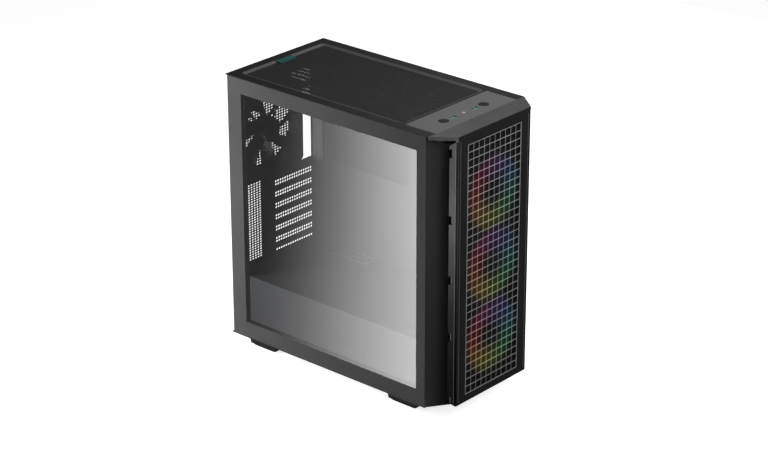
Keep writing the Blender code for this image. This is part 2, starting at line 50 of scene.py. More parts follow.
def span(node):
    """Lowest and highest corner of a CAD node, in millimetres."""
    low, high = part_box(node)
    return low / MM, high / MM


def centre(node):
    """Middle of a node seen from the front, as x and z."""
    low, high = span(node)
    return (low.x + high.x) / 2, (low.z + high.z) / 2


SIDES = (("left", -1), ("right", 1))
CORNERS = [f"{end}_{side}" for end in ("front", "rear") for side, sign in SIDES]
FRONT_FANS = [centre(f"front_fan_{i}_frame") for i in (1, 2, 3)]


# --- camera -------------------------------------------------------------------------------------

CAMERA_PLACE = (-2.7347, -2.4119, 1.8108)
CAMERA_TURN, CAMERA_DROP, CAMERA_ROLL = radians(-48.677), radians(23.332), radians(-0.09)

lens = bpy.data.cameras.new("camera")
lens.sensor_width = 36.0
lens.lens = 116.36
lens.clip_end = 100.0
camera = bpy.data.objects.new("camera", lens)
scene.collection.objects.link(camera)
camera.matrix_world = (
    Matrix.Translation(CAMERA_PLACE)
    @ Matrix.Rotation(CAMERA_TURN, 4, "Z")
    @ Matrix.Rotation(pi / 2 - CAMERA_DROP, 4, "X")
    @ Matrix.Rotation(CAMERA_ROLL, 4, "Z")
)
scene.camera = camera
scene.view_settings.view_transform = "Standard"


# --- node materials -----------------------------------------------------------------------------

MIRROR_GAIN = 2.6  # both faces of the pane, and its faint reflective tint
LAMP_HUES = (  # share of a turn round the axle, from the left, and the colour there
    (0.00, (1.0, 0.13, 0.03)),  # left
    (0.14, (1.0, 0.62, 0.04)),
    (0.25, (0.62, 0.72, 0.05)),  # bottom
    (0.38, (0.08, 0.62, 0.16)),
    (0.50, (0.02, 0.48, 0.52)),  # right
    (0.62, (0.08, 0.18, 0.75)),
    (0.75, (0.45, 0.10, 0.60)),  # top
    (0.88, (0.90, 0.05, 0.22)),
    (1.00, (1.0, 0.13, 0.03)),
)


class Surface:
    """A Principled material whose colour, roughness and bump come from procedural nodes."""

    def __init__(self, name):
        self.material = bpy.data.materials.new(name)
        self.material.use_nodes = True
        self.tree = self.material.node_tree
        self.shader = self.tree.nodes["Principled BSDF"]
        self.output = self.tree.nodes["Material Output"]
        self.place = self.node("ShaderNodeTexCoord").outputs["Object"]

    def node(self, kind, inputs=None, **settings):
        """A new node; each input is a value, or a socket to link."""
        made = self.tree.nodes.new(kind)
        for key, value in settings.items():
            setattr(made, key, value)
        for key, value in (inputs or {}).items():
            if isinstance(value, bpy.types.NodeSocket):
                self.tree.links.new(value, made.inputs[key])
            else:
                made.inputs[key].default_value = value
        return made

    def link(self, output, target):
        self.tree.links.new(output, target)

    def set(self, **values):
        """Values set straight on the shader's sockets."""
        for key, value in values.items():
            self.shader.inputs[key.replace("_", " ")].default_value = value

    def noise(self, scale, detail=3.0, stretch=None):
        """Noise in object space, from 0 to 1."""
        vector = self.place
        if stretch:
            vector = self.node(
                "ShaderNodeMapping", {"Vector": self.place, "Scale": stretch}
            ).outputs["Vector"]
        made = self.node(
            "ShaderNodeTexNoise",
            {"Vector": vector, "Scale": scale, "Detail": detail, "Roughness": 0.55},
        )
        return made.outputs["Fac"]

    def remap(self, value, low, high, start=0.3, end=0.7):
        """Start to end becomes low to high, held at both ends."""
        made = self.node(
            "ShaderNodeMapRange",
            {"Value": value, "From Min": start, "From Max": end, "To Min": low, "To Max": high},
        )
        return made.outputs["Result"]

    def blend(self, amount, first, second):
        """Mix of two colours; each is a colour or a socket."""
        made = self.node("ShaderNodeMix", data_type="RGBA")
        for socket, value in ((0, amount), (6, first), (7, second)):
            if isinstance(value, bpy.types.NodeSocket):
                self.tree.links.new(value, made.inputs[socket])
            elif socket:
                made.inputs[socket].default_value = (*value, 1.0)
            else:
                made.inputs[socket].default_value = value
        return made.outputs[2]

    def math(self, operation, first, second=0.0):
        """Result of a maths node; each number may be a socket."""
        made = self.node("ShaderNodeMath", operation=operation)
        for i, value in enumerate((first, second)):
            if isinstance(value, bpy.types.NodeSocket):
                self.tree.links.new(value, made.inputs[i])
            else:
                made.inputs[i].default_value = value
        return made.outputs[0]

    def colour(self, output):
        self.link(output, self.shader.inputs["Base Color"])

    def roughness(self, output):
        self.link(output, self.shader.inputs["Roughness"])

    def bump(self, height, distance, strength=1.0):
        made = self.node(
            "ShaderNodeBump", {"Height": height, "Distance": distance, "Strength": strength}
        )
        self.link(made.outputs["Normal"], self.shader.inputs["Normal"])


def scaled(colour, factor):
    """A lighter or darker colour of the same hue."""
    return tuple(min(1.0, c * factor) for c in colour)


PAINT_GRAIN, FINE = 2400.0, 0.00001  # grain of powder coat; relief of a smooth surface in metres


def moulded(name, colour, rough, grain=1500.0, depth=0.00004, specular=0.5):
    """Painted or moulded surface: fine grain, faint mottling, and handling marks in the gloss."""
    made = Surface(name)
    mottle = made.noise(9.0, 4.0)
    speck = made.noise(grain, 2.0)
    tone = made.blend(made.remap(mottle, 0.0, 1.0), scaled(colour, 0.86), scaled(colour, 1.14))
    grained = made.blend(made.remap(speck, 0.0, 0.5), tone, scaled(colour, 1.5))
    made.colour(grained)
    grit = made.remap(speck, rough - 0.05, rough + 0.05)
    made.roughness(made.math("ADD", made.remap(mottle, -0.05, 0.05), grit))
    made.bump(speck, depth, 0.4)
    made.set(Specular_IOR_Level=specular)
    return made.material


def gloss_black():
    """Piano-black plastic with a clear coat and faint smears."""
    made = Surface("gloss_black")
    haze = made.noise(40.0, 5.0)
    made.colour(made.blend(haze, (0.006, 0.006, 0.007), (0.012, 0.012, 0.013)))
    made.roughness(made.remap(haze, 0.05, 0.14))
    made.bump(made.noise(6.0, 2.0), 0.0002, 0.2)
    made.set(Coat_Weight=0.6, Coat_Roughness=0.04)
    return made.material


def tinted_glass():
    """Toughened glass with a reflective tint: see-through, and a mirror by Fresnel."""
    made = Surface("tinted_glass")
    smear = made.noise(14.0, 4.0)
    clear = made.node("ShaderNodeBsdfTransparent")
    made.link(
        made.blend(smear, (0.95, 0.955, 0.96), (0.97, 0.975, 0.98)), clear.inputs["Color"]
    )
    mirror = made.node("ShaderNodeBsdfGlossy", {"Color": (1, 1, 1, 1), "Roughness": 0.0})
    fresnel = made.node("ShaderNodeFresnel", {"IOR": 1.5})
    inside = made.node("ShaderNodeNewGeometry").outputs["Backfacing"]
    outer = made.math("SUBTRACT", 1.0, inside)
    strength = made.math("MULTIPLY", fresnel.outputs[0], MIRROR_GAIN)
    mixed = made.node("ShaderNodeMixShader")
    made.link(made.math("MULTIPLY", strength, outer), mixed.inputs[0])
    made.link(clear.outputs[0], mixed.inputs[1])
    made.link(mirror.outputs[0], mixed.inputs[2])
    made.link(mixed.outputs[0], made.output.inputs["Surface"])
    return made.material


WEAVE_PITCH = 0.0022  # metres


def woven(name, colour, axes, openness, fan_glow_paint=0.0):
    """Fine black mesh: threads along two axes with open squares between them."""
    made = Surface(name)
    split = made.node("ShaderNodeSeparateXYZ", {"Vector": made.place})
    waves = []
    for axis in axes:
        phase = made.math("MULTIPLY", split.outputs[axis], 2 * pi / WEAVE_PITCH)
        waves.append(made.math("SINE", phase))
    both = made.math("MINIMUM", made.math("ABSOLUTE", waves[0]), made.math("ABSOLUTE", waves[1]))
    hole = made.math("GREATER_THAN", both, 1.0 - openness)
    dust = made.noise(60.0, 3.0)
    made.colour(made.blend(dust, scaled(colour, 0.7), scaled(colour, 1.3)))
    made.roughness(made.remap(dust, 0.6, 0.8))
    made.bump(made.math("MULTIPLY", waves[0], waves[1]), 0.0001)
    made.link(made.math("SUBTRACT", 1.0, hole), made.shader.inputs["Alpha"])
    made.set(Specular_IOR_Level=0.2)
    # painted glow of the fans' lamp rings on the mesh, which is no lamp
    if fan_glow_paint:
        paint_fan_glow(made, (14, 38), (50, 66), fan_glow_paint)
    return made.material


def circuit_board():
    """Green board with a fine grid of tracks."""
    made = Surface("circuit_board")
    tracks = made.node(
        "ShaderNodeTexBrick",
        {
            "Vector": made.place,
            "Scale": 160.0,
            "Mortar Size": 0.03,
            "Color1": (0.008, 0.05, 0.02, 1),
            "Color2": (0.01, 0.07, 0.03, 1),
            "Mortar": (0.05, 0.16, 0.06, 1),
        },
    )
    made.colour(tracks.outputs["Color"])
    made.roughness(made.remap(made.noise(200.0), 0.3, 0.5))
    return made.material


def plated():
    """Bright steel, brushed along one direction."""
    made = Surface("plated_steel")
    brushed = made.noise(300.0, 3.0, stretch=(1.0, 1.0, 0.05))
    made.colour(made.blend(brushed, (0.45, 0.45, 0.46), (0.62, 0.62, 0.63)))
    made.roughness(made.remap(brushed, 0.22, 0.4))
    made.set(Metallic=1.0)
    return made.material


def paint_fan_glow(made, inner, outer, strength):
    """Painted glow of the front lamp rings, as emission: the hue follows the angle round each fan's
    axle.

    The light grows over the inner pair of radii and dies away over the outer pair.
    """
    split = made.node("ShaderNodeSeparateXYZ", {"Vector": made.place})
    total = None
    for x, z in FRONT_FANS:
        across = made.math("SUBTRACT", split.outputs["X"], x * MM)
        up = made.math("SUBTRACT", split.outputs["Z"], z * MM)
        share = made.remap(made.math("ARCTAN2", up, across), 0.0, 1.0, -pi, pi)
        ramp = made.node("ShaderNodeValToRGB", {"Fac": share})
        elements = ramp.color_ramp.elements
        while len(elements) < len(LAMP_HUES):
            elements.new(0.5)
        for element, (position, colour) in zip(elements, LAMP_HUES):
            element.position = position
            element.color = (*colour, 1.0)
        across_squared = made.math("MULTIPLY", across, across)
        up_squared = made.math("MULTIPLY", up, up)
        radius = made.math("SQRT", made.math("ADD", across_squared, up_squared))
        rise = made.remap(radius, 0.0, 1.0, inner[0] * MM, inner[1] * MM)
        fall = made.remap(radius, 1.0, 0.0, outer[0] * MM, outer[1] * MM)
        level = made.math("MULTIPLY", made.math("MULTIPLY", rise, fall), strength)
        tint = made.node("ShaderNodeVectorMath", operation="SCALE")
        made.link(ramp.outputs["Color"], tint.inputs[0])
        made.link(level, tint.inputs["Scale"])
        if total is None:
            total = tint.outputs[0]
        else:
            added = made.node("ShaderNodeVectorMath", operation="ADD")
            made.link(total, added.inputs[0])
            made.link(tint.outputs[0], added.inputs[1])
            total = added.outputs[0]
    made.link(total, made.shader.inputs["Emission Color"])
    made.set(Emission_Strength=1.0)


def glow_painted_plastic(name, colour, rough, inner, outer, strength):
    """Moulded plastic with the fans' coloured glow painted on as emission."""
    made = Surface(name)
    speck = made.noise(1500.0, 2.0)
    made.colour(made.blend(speck, scaled(colour, 0.8), scaled(colour, 1.2)))
    made.roughness(made.remap(speck, rough - 0.06, rough + 0.06))
    made.bump(speck, 0.00002, 0.4)
    paint_fan_glow(made, inner, outer, strength)
    return made.material


STEEL = moulded("black_steel", (0.020, 0.020, 0.022), 0.5, PAINT_GRAIN, FINE, specular=0.2)
# Inside and rear steel are the black paint made lighter: painted light for the light that barely
# reaches inside the case.
LIGHTENED_INSIDE_STEEL = moulded("inside_steel", (0.045, 0.045, 0.047), 0.5, PAINT_GRAIN, FINE, specular=0.3)
LIGHTENED_REAR_STEEL = moulded("rear_steel", (0.055, 0.055, 0.057), 0.5, PAINT_GRAIN, FINE, specular=0.3)
SIDE_FRAME = moulded("side_panel_frame", (0.066, 0.066, 0.068), 0.5, 1600.0, FINE, specular=0.01)
# Steel darker than the black paint: painted shade for the folded edges behind the glass's border.
SHADE = moulded("shaded_steel", (0.008, 0.008, 0.009), 0.6, PAINT_GRAIN, FINE, specular=0.1)
BLACK = moulded("black_plastic", (0.020, 0.020, 0.021), 0.42)
FRONT_FACE = moulded("front_plastic", (0.009, 0.009, 0.0095), 0.3, depth=FINE, specular=0.4)
TOP_SHELL = moulded("top_plastic", (0.012, 0.012, 0.0125), 0.5, specular=0.15)
# Filter rim lighter than the black shell: painted highlight along the rim.
TOP_RIM = moulded("filter_rim", (0.055, 0.055, 0.056), 0.45)
GREY = moulded("grey_plastic", (0.078, 0.078, 0.078), 0.5, specular=0.35)
BUTTON = moulded("button_plastic", (0.012, 0.012, 0.0125), 0.5, specular=0.12)
# Ribs, fan blades and fan frames carry a painted glow of the fans' lamp rings as emission; the ribs
# are no lamp, so on them it is painted light.
RIB = glow_painted_plastic("grille_rib", (0.24, 0.24, 0.24), 0.4, (12, 40), (46, 68), 0.16)
LIT_BLADE = glow_painted_plastic("lit_blade", (0.03, 0.03, 0.033), 0.3, (18, 30), (58, 62), 0.05)
LIT_FRAME = glow_painted_plastic("lit_frame", (0.015, 0.015, 0.016), 0.5, (20, 30), (57, 68), 0.04)
RUBBER = moulded("rubber", (0.014, 0.014, 0.015), 0.85, 700.0, 0.0001, specular=0.25)
TEAL = moulded("teal_plastic", (0.008, 0.06, 0.052), 0.5)
USB_TEAL = moulded("usb_teal", (0.05, 0.20, 0.16), 0.5)
LINE = moulded("trim_line", (0.10, 0.10, 0.10), 0.35, depth=FINE)
# Light grey line: painted highlight along the edge of the gloss strip.
PAINTED_HIGHLIGHT_LINE = moulded("corner_highlight_line", (0.24, 0.24, 0.24), 0.35, depth=FINE)
DEEP_BLACK = moulded("gloss_edge", (0.002, 0.002, 0.002), 0.35, depth=FINE, specular=0.1)
# Light grey rim: painted highlight round the shroud's cable hole.
HOLE_RIM = moulded("hole_rim", (0.20, 0.20, 0.205), 0.5, depth=FINE)
# Fan frame and blades lighter than the black plastic: painted light for the light that barely reaches
# the fans inside the case.
FAN_FRAME = moulded("fan_frame", (0.045, 0.045, 0.046), 0.5, 1200.0)
FAN_BLADE = moulded("fan_blade", (0.04, 0.04, 0.042), 0.38, 1200.0, 0.00002)
WHITE = moulded("white_ring", (0.75, 0.76, 0.77), 0.35, depth=FINE)
GLOSS = gloss_black()
GLASS = tinted_glass()
PLATED = plated()
BOARD = circuit_board()
TOP_MESH = woven("top_filter_mesh", (0.022, 0.022, 0.023), ("X", "Y"), 0.13)
# The front filter also carries the painted glow of the fans' lamp rings, though it is no lamp.
FRONT_MESH = woven("front_filter_mesh", (0.006, 0.006, 0.006), ("X", "Z"), 0.3, 0.032)


# --- mesh tools ---------------------------------------------------------------------------------

AXES = {"y": (0, 2, 1), "z": (0, 1, 2)}  # the two axes of an outline, and the one along the prism


def prism(bm, axis, outline, start, end):
    """Adds a straight prism along an axis to a mesh."""
    first, second, along = AXES[axis]
    loops = []
    for height in (start, end):
        loop = []
        for u, v in outline:
            point = [0.0, 0.0, 0.0]
            point[first], point[second], point[along] = u, v, height
            loop.append(bm.verts.new(point))
        loops.append(loop)
    low, high = loops
    faces = [bm.faces.new(low), bm.faces.new(high)]
    for i in range(len(low)):
        j = (i + 1) % len(low)
        faces.append(bm.faces.new((low[i], low[j], high[j], high[i])))
    bmesh.ops.recalc_face_normals(bm, faces=faces)


def oblong(u_low, v_low, u_high, v_high):
    return [(u_low, v_low), (u_high, v_low), (u_high, v_high), (u_low, v_high)]


def box(bm, low, high):
    prism(bm, "z", oblong(low[0], low[1], high[0], high[1]), low[2], high[2])


def ring(u, v, radius, sides=32, squash=1.0, turn=0.0):
    """Outline of a circle, or of an ellipse that is squashed along v."""
    angles = [turn + 2 * pi * i / sides for i in range(sides)]
    return [(u + radius * cos(a), v + squash * radius * sin(a)) for a in angles]


def rounded(u_low, v_low, u_high, v_high, radius, steps=5):
    """Outline of a rectangle with round corners."""
    corners = (
        (u_high - radius, v_low + radius, -pi / 2),
        (u_high - radius, v_high - radius, 0.0),
        (u_low + radius, v_high - radius, pi / 2),
        (u_low + radius, v_low + radius, pi),
    )
    points = []
    for u, v, start in corners:
        for i in range(steps):
            angle = start + pi / 2 * i / (steps - 1)
            points.append((u + radius * cos(angle), v + radius * sin(angle)))
    return points


def piece(name, bm, material, body="root", smooth=None, bevel=0.0):
    """A finished piece in place, riding on a body."""
    bmesh.ops.scale(bm, vec=(MM, MM, MM), verts=bm.verts)
    mesh = bpy.data.meshes.new(name)
    bm.to_mesh(mesh)
    bm.free()
    mesh.materials.append(material)
    if smooth is not None:
        mesh.shade_smooth()
        mesh.set_sharp_from_angle(angle=radians(smooth))
    made = bpy.data.objects.new(name, mesh)
    scene.collection.objects.link(made)
    if bevel:
        soften(made, bevel)
    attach(made, body)
    return made


def soften(made, width):
    """Rounds the hard edges so that they catch light."""
    modifier = made.modifiers.new("Edges", "BEVEL")
    modifier.width = width * MM
    modifier.segments = 2
    modifier.limit_method = "ANGLE"
    modifier.angle_limit = radians(40)
    modifier.harden_normals = False


def carve(made, bm):
    """Cuts separate shapes out of a piece and keeps the result as its mesh."""
    bmesh.ops.scale(bm, vec=(MM, MM, MM), verts=bm.verts)
    mesh = bpy.data.meshes.new("cutter")
    bm.to_mesh(mesh)
    bm.free()
    tool = bpy.data.objects.new("cutter", mesh)
    scene.collection.objects.link(tool)
    modifier = made.modifiers.new("Holes", "BOOLEAN")
    modifier.object = tool
    modifier.solver = "MANIFOLD"
    bpy.context.view_layer.update()
    graph = bpy.context.evaluated_depsgraph_get()
    cut = bpy.data.meshes.new_from_object(made.evaluated_get(graph))
    made.modifiers.remove(modifier)
    made.data = cut
    bpy.data.objects.remove(tool)
    bpy.data.meshes.remove(mesh)


def copied(node, name, material):
    """Steel piece with the shape of a CAD node, ready to be carved."""
    bm = bmesh.new()
    bm.from_mesh(NODES[node].data)
    bmesh.ops.remove_doubles(bm, verts=bm.verts, dist=1e-6)
    bmesh.ops.scale(bm, vec=(1 / MM, 1 / MM, 1 / MM), verts=bm.verts)
    made = piece(name, bm, material, "root")
    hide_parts(node)
    return made


def plate(name, axis, outline, start, end, material, body="root"):
    """A piece that is one straight prism."""
    bm = bmesh.new()
    prism(bm, axis, outline, start, end)
    return piece(name, bm, material, body)


def bar(name, low, high, material, body="root", bevel=0.0):
    """A piece that is one box."""
    bm = bmesh.new()
    box(bm, low, high)
    return piece(name, bm, material, body, bevel=bevel)


# --- front grille -------------------------------------------------------------------------------

CELLS_ACROSS, CELLS_UP = 10, 33
CELL, RIB_WIDTH, RIB_DEPTH, CELL_CORNER = 12.62, 0.85, 0.8, 0.9
PAST = 2.0  # how far a cutter goes past each face


def front_grille():
    """Grille of square cells in front of the filter."""
    low, high = span("front_grille")
    grille = plate(
        "square_grille",
        "y",
        oblong(low.x, low.z, high.x, high.z),
        low.y,
        low.y + RIB_DEPTH,
        RIB,
        "front_panel",
    )
    bm = bmesh.new()
    x_start = -CELLS_ACROSS * CELL / 2
    z_start = (low.z + high.z) / 2 - CELLS_UP * CELL / 2
    half = (CELL - RIB_WIDTH) / 2
    for i in range(CELLS_ACROSS):
        for j in range(CELLS_UP):
            x, z = x_start + (i + 0.5) * CELL, z_start + (j + 0.5) * CELL
            outline = rounded(x - half, z - half, x + half, z + half, CELL_CORNER, 3)
            prism(bm, "y", outline, low.y - PAST, high.y + PAST)
    carve(grille, bm)
    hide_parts("front_grille")


# --- sheet metal and top filter -----------------------------------------------------------------

VENT_PITCH, VENT_HOLE = (6.3, 4.25), (2.35, 1.45)  # across and up; holes by their half widths
FAN_PITCH, FAN_HOLE = (6.0, 4.4), (2.25, 1.5)
COVER_PITCH, COVER_HOLE = (5.6, 5.4), (2.2, 2.0)
SIDE_VENT = (-93.0, 139.5, -48.0, 274.0)
FAN_VENT_RADIUS, FAN_SCREW_OFFSET = 65.0, 62.25
KEYHOLE, KEYHOLE_HALF = (26.5, 319.0), (2.0, 4.5)


def round_holes(bm, cells, size, start, end):
    """Adds a rounded hole along Y for each cell."""
    for u, v in cells:
        prism(bm, "y", ring(u, v, size[0], 8, size[1] / size[0], pi / 8), start, end)


def grid(u_low, v_low, u_high, v_high, pitch, inside=None):
    """Centres of a regular grid that fills a rectangle, kept where inside says so."""
    columns = int((u_high - u_low) / pitch[0] + 1e-6) + 1
    rows = int((v_high - v_low) / pitch[1] + 1e-6) + 1
    cells = []
    for i in range(columns):
        for j in range(rows):
            u, v = u_low + i * pitch[0], v_low + j * pitch[1]
            if inside is None or inside(u, v):
                cells.append((u, v))
    return cells


def rear_wall():
    """Rear wall with its vents, a keyhole and the screws of the fan."""
    wall = copied("rear_panel", "perforated_rear_wall", LIGHTENED_REAR_STEEL)
    low, high = span("rear_panel")
    x0, z0 = centre("rear_fan_frame")

    def behind_fan(x, z):
        return (x - x0) ** 2 + (z - z0) ** 2 < FAN_VENT_RADIUS**2

    side = FAN_VENT_RADIUS + 1.0
    fan_vent = grid(x0 - side, z0 - side, x0 + side, z0 + side, FAN_PITCH, behind_fan)
    (x, z), (half_x, half_z) = KEYHOLE, KEYHOLE_HALF
    keyhole = rounded(x - half_x, z - half_z, x + half_x, z + half_z, half_x - 0.1, 4)
    bm = bmesh.new()
    near, far = low.y - PAST, high.y + PAST
    round_holes(bm, grid(*SIDE_VENT, VENT_PITCH), VENT_HOLE, near, far)
    round_holes(bm, fan_vent, FAN_HOLE, near, far)
    prism(bm, "y", keyhole, near, far)
    carve(wall, bm)
    head = ((0.0, 0.0), (3.9, 0.0), (3.9, 0.9), (3.0, 1.6), (0.0, 1.6))  # radius and height
    profile = [(radius, high.y + height) for radius, height in head]
    screws = bmesh.new()
    for x in (x0 - FAN_SCREW_OFFSET, x0 + FAN_SCREW_OFFSET):
        for z in (z0 - FAN_SCREW_OFFSET, z0 + FAN_SCREW_OFFSET):
            turned(screws, x, z, profile, 20)
    piece("rear_fan_screws", screws, PLATED, "root", smooth=40)


def slot_covers():
    """Seven covers with two rows of holes each."""
    for i in range(1, 8):
        node = f"slot_cover_{i}"
        low, high = span(node)
        middle = (low.z + high.z) / 2
        cover = plate(
            f"vented_slot_cover_{i}",
            "y",
            rounded(low.x, low.z, high.x, high.z, 1.2, 3),
            low.y,
            high.y,
            LIGHTENED_INSIDE_STEEL,
        )
        bm = bmesh.new()
        cells = grid(low.x + 8.0, middle - 2.7, high.x - 5.0, middle + 2.8, COVER_PITCH)
        round_holes(bm, cells, COVER_HOLE, low.y - PAST, high.y + PAST)
        carve(cover, bm)
        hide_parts(node)


POST_REAR, POST_TOP, SILL_BOTTOM = 219.0, 467.0, 24.5
FLANGE_FRONT, FLANGE_REAR, FLANGE_BOTTOM, FLANGE_TOP = 194.0, 206.0, 277.0, 466.0
SHROUD_TAB = 4.0  # the shroud's rear tab stands this far above its top


def chassis_edges():
    """Folded edges of the chassis that show behind the glass, in steel darkened as painted shade, and
    the tray's rear flange.
    """
    low, high = span("psu_shroud")
    pane_low, pane_high = span("glass_pane")
    x_out, x_in = pane_high.x + 0.5, low.x - 0.3
    sill_top = pane_low.z + 3.2
    bar(
        "chassis_sill_left",
        (x_out, pane_low.y - 6, SILL_BOTTOM),
        (x_in, pane_high.y + 20, sill_top),
        SHADE,
    )
    bar(
        "chassis_post_left",
        (x_out, pane_high.y - 4.0, sill_top + 0.2),
        (x_in, POST_REAR, POST_TOP),
        SHADE,
    )
    tray_x = span("motherboard_tray")[0].x
    bar(
        "tray_rear_flange",
        (tray_x - 2.2, FLANGE_FRONT, FLANGE_BOTTOM),
        (tray_x - 0.3, FLANGE_REAR, FLANGE_TOP),
        GREY,
        bevel=0.4,
    )
    shroud_hole_rim(high.z - SHROUD_TAB)


def shroud_hole_rim(top):
    """Rolled edge round the cable hole of the shroud, in light grey as a painted highlight of the
    hole's edge.
    """
    outer = rounded(44.5, 72.5, 76.8, 151.5, 6.0)
    inner = rounded(50.0, 78.0, 72.0, 146.0, 4.0)
    rim = plate("shroud_hole_rim", "z", outer, top + 0.3, top + 1.1, HOLE_RIM)
    hole = bmesh.new()
    prism(hole, "z", inner, top - PAST, top + PAST)
    carve(rim, hole)
    soften(rim, 0.2)


SLOT_ROWS, SLOTS_IN_ROW = 4, 13
SLOT_PITCH, ROW_PITCH = 13.5, 80.0
SLOT_HALF_WIDTH, SLOT_LENGTH, FIRST_ROW = 3.0, 62.0, -120.0


def top_sheet():
    """Sheet under the filter, with rows of long cooling slots."""
    low, high = span("top_panel")
    sheet = plate(
        "slotted_top_sheet",
        "z",
        oblong(low.x, low.y, high.x, high.y),
        low.z,
        high.z,
        LIGHTENED_INSIDE_STEEL,
    )
    bm = bmesh.new()
    for row in range(SLOT_ROWS):
        y = FIRST_ROW + row * ROW_PITCH
        for i in range(SLOTS_IN_ROW):
            x = (i - (SLOTS_IN_ROW - 1) / 2) * SLOT_PITCH
            left, right = x - SLOT_HALF_WIDTH, x + SLOT_HALF_WIDTH
            outline = rounded(left, y, right, y + SLOT_LENGTH, SLOT_HALF_WIDTH - 0.1, 4)
            prism(bm, "z", outline, low.z - PAST, high.z + PAST)
    carve(sheet, bm)
    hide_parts("top_panel")


RIM_CORNER, MESH_CORNER, RIM_SLOPE, RIM_GAP = 8.7, 4.0, 2.1, 0.3


def filter_rim():
    """Rim of the top filter; its face slopes down to the mesh. Its grey is lighter than the black
    shell, a painted highlight along the rim.
    """
    low, high = span("top_filter_frame")
    mesh_low, mesh_high = span("top_filter_mesh")
    tab_low, tab_high = span("top_filter_tab")
    gap = Vector((RIM_GAP, RIM_GAP, RIM_GAP))
    inner_low, inner_high = mesh_low - gap, mesh_high + gap
    bm = bmesh.new()
    outer = rounded(low.x, low.y, high.x, high.y, RIM_CORNER, 6)
    inner = rounded(inner_low.x, inner_low.y, inner_high.x, inner_high.y, MESH_CORNER, 6)
    inside_top = high.z - RIM_SLOPE
    loops = [
        [bm.verts.new((x, y, z)) for x, y in outline]
        for outline, z in ((outer, low.z), (outer, high.z), (inner, inside_top), (inner, low.z))
    ]
    count = len(outer)
    for first, second in zip(loops, loops[1:] + loops[:1]):
        for i in range(count):
            j = (i + 1) % count
            bm.faces.new((first[i], first[j], second[j], second[i]))
    bmesh.ops.recalc_face_normals(bm, faces=bm.faces)
    rim = piece("sloped_filter_rim", bm, TOP_RIM, "top_filter")
    seat = bmesh.new()
    box(seat, tab_low - gap, (tab_high.x + RIM_GAP, high.y + 3, high.z + 3))
    carve(rim, seat)
    soften(rim, 0.4)
    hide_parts("top_filter_frame")


# --- fans ---------------------------------------------------------------------------------------


def blade_sheet(bm, x, y, z, root, tip, turn, chord, rise, sweep, steps=8, spans=6):
    """One curved blade between the hub and the tip, with a thin closed section."""
    stations = []
    for s in range(spans + 1):
        share = s / spans
        radius = root + (tip - root) * share
        lead = turn + sweep * share**1.3
        width = chord * (1.0 - 0.12 * share)
        lift = rise * (1.0 - 0.25 * share)
        loop = []
        for side in (-1, 1):
            order = range(steps + 1) if side < 0 else range(steps - 1, 0, -1)
            for k in order:
                t = 2.0 * k / steps - 1.0
                angle = lead + t * width
                bow = 2.2 * (1 - t * t)
                thick = 0.9 * (1 - t * t) + 0.12
                loop.append(
                    bm.verts.new(
                        (
                            x + radius * cos(angle),
                            y + t * lift + bow + side * thick,
                            z + radius * sin(angle),
                        )
                    )
                )
        stations.append(loop)
    faces = [bm.faces.new(stations[0]), bm.faces.new(stations[-1])]
    count = len(stations[0])
    for low, high in zip(stations, stations[1:]):
        for i in range(count):
            j = (i + 1) % count
            faces.append(bm.faces.new((low[i], low[j], high[j], high[i])))
    bmesh.ops.recalc_face_normals(bm, faces=faces)


def turned(bm, x, z, profile, sides=48):
    """Surface of revolution about Y; the profile is (radius, y) from the axis outward and back."""
    loops = []
    for radius, y in profile:
        if radius < 1e-6:
            loops.append([bm.verts.new((x, y, z))])
        else:
            loops.append(
                [
                    bm.verts.new((x + radius * cos(a), y, z + radius * sin(a)))
                    for a in (2 * pi * i / sides for i in range(sides))
                ]
            )
    faces = []
    for first, second in zip(loops, loops[1:]):
        for i in range(sides):
            j = (i + 1) % sides
            if len(first) == 1:
                faces.append(bm.faces.new((first[0], second[i], second[j])))
            elif len(second) == 1:
                faces.append(bm.faces.new((first[i], first[j], second[0])))
            else:
                faces.append(bm.faces.new((first[i], first[j], second[j], second[i])))
    bmesh.ops.recalc_face_normals(bm, faces=faces)


HUB_RADIUS, HUB_WALL, HUB_TOP = 20.0, 1.6, 3.0
RING_INSIDE, RING_OUTSIDE = 13.0, 14.2


